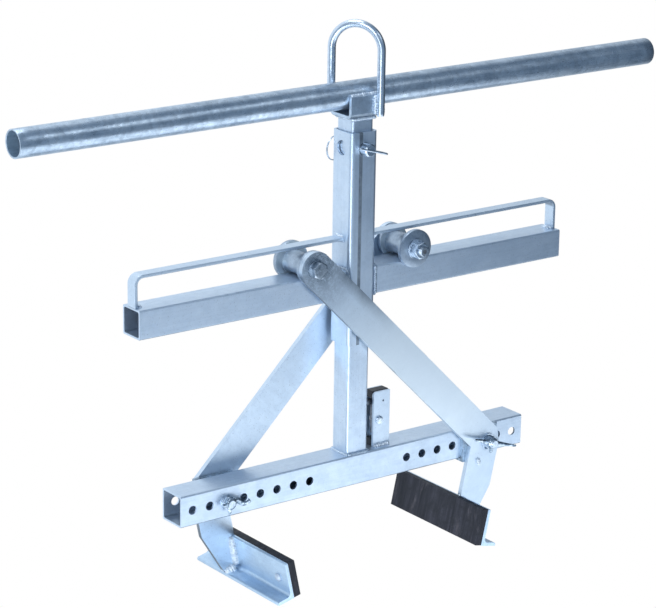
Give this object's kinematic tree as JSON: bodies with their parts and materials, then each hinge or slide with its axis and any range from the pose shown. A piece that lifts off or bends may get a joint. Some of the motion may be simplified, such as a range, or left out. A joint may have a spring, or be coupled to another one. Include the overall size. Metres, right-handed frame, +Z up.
{
  "type": "lifting tongs",
  "caption": "Scissor-type lifting tongs on a two-part telescoping mast, with roller-guided arms, rubber-padded jaws, a handle tube and a loop for a hook.",
  "frame": {"origin": "seat of the lifting loop, on the mast's axis, where the hook bears", "axes": "+Z up, X along the beam and handle, -Y is the front of the device"},
  "size_m": [1.185, 0.22, 0.8585],
  "materials": {
    "zinc_tube": "bright galvanised, satin",
    "zinc_plate": "bright galvanised, satin",
    "zinc_handle": "mottled zinc, semi-gloss",
    "zinc_arm": "galvanised plate, satin, patchy",
    "bright_fastener": "zinc plated, bright",
    "latch_steel": "dark satin",
    "black_plastic": "matt",
    "rubber": "matt, moulded",
    "roller_steel": "galvanised, satin",
    "bush_brass": "turned"
  },
  "bodies": {
    "upper_frame": {"outer_mast": "zinc_tube", "left_crossbar": "zinc_tube", "right_crossbar": "zinc_tube", "left_guard": "zinc_plate", "right_guard": "zinc_plate", "post": "zinc_tube", "handle_saddle": "zinc_plate", "handle_tube": "zinc_handle", "lifting_loop": "zinc_plate", "locking_pin": "bright_fastener", "pin_clip": "bright_fastener"},
    "pin_ring": {"pin_ring": "bright_fastener"},
    "lower_frame": {"beam": "zinc_tube", "inner_mast": "zinc_tube", "latch_cheeks": "zinc_plate", "latch_cap": "black_plastic", "latch_pin": "bright_fastener", "latch_spring": "latch_steel", "latch_stop": "black_plastic", "front_shoe": "zinc_plate", "rear_shoe": "zinc_plate", "front_pivot_bolt": "bright_fastener", "rear_pivot_bolt": "bright_fastener", "front_wing_nut": "bright_fastener", "rear_wing_nut": "bright_fastener"},
    "latch_hook": {"latch_hook": "latch_steel"},
    "front_arm": {"front_arm": "zinc_arm", "right_jaw": "zinc_plate", "right_pad": "rubber", "right_pad_screws": "bright_fastener", "left_bush": "bush_brass", "left_roller_bolt": "bright_fastener", "left_roller_nut": "bright_fastener"},
    "rear_arm": {"rear_arm": "zinc_arm", "left_jaw": "zinc_plate", "left_pad": "rubber", "left_pad_screws": "bright_fastener", "right_bush": "bush_brass", "right_roller_bolt": "bright_fastener", "right_roller_nut": "bright_fastener"},
    "left_roller": {"left_roller": "roller_steel"},
    "right_roller": {"right_roller": "roller_steel"}
  },
  "joints": [
    {"name": "mast_slide", "type": "slide", "parent": "upper_frame", "child": "lower_frame", "axis": [0, 0, 1], "range_m": [0, 0.12]},
    {"name": "front_arm_pivot", "type": "hinge", "parent": "lower_frame", "child": "front_arm", "pos_m": [0.25, -0.036, -0.696], "axis": [0, -1, 0], "range_deg": [0, 17.45]},
    {"name": "rear_arm_pivot", "type": "hinge", "parent": "lower_frame", "child": "rear_arm", "pos_m": [-0.25, 0.036, -0.696], "axis": [0, 1, 0], "range_deg": [0, 17.45]},
    {"name": "left_roller_spin", "type": "hinge", "parent": "front_arm", "child": "left_roller", "pos_m": [-0.098, 0, -0.3517], "axis": [0, 1, 0], "continuous": true},
    {"name": "right_roller_spin", "type": "hinge", "parent": "rear_arm", "child": "right_roller", "pos_m": [0.098, 0, -0.3517], "axis": [0, 1, 0], "continuous": true},
    {"name": "latch_hook_turn", "type": "hinge", "parent": "lower_frame", "child": "latch_hook", "pos_m": [0.048, 0, -0.628], "axis": [0, 1, 0], "range_deg": [-8, 10], "stiffness_Nm_per_rad": 0.5},
    {"name": "pin_ring_swing", "type": "hinge", "parent": "upper_frame", "child": "pin_ring", "pos_m": [0, 0.036, -0.1815], "axis": [0, 0, 1], "range_deg": [-120, 0]}
  ],
  "couplings": [
    {"joint": "front_arm_pivot", "follows": "mast_slide", "rad_per_m": 2.5341},
    {"joint": "rear_arm_pivot", "follows": "mast_slide", "rad_per_m": 2.5341}
  ]
}
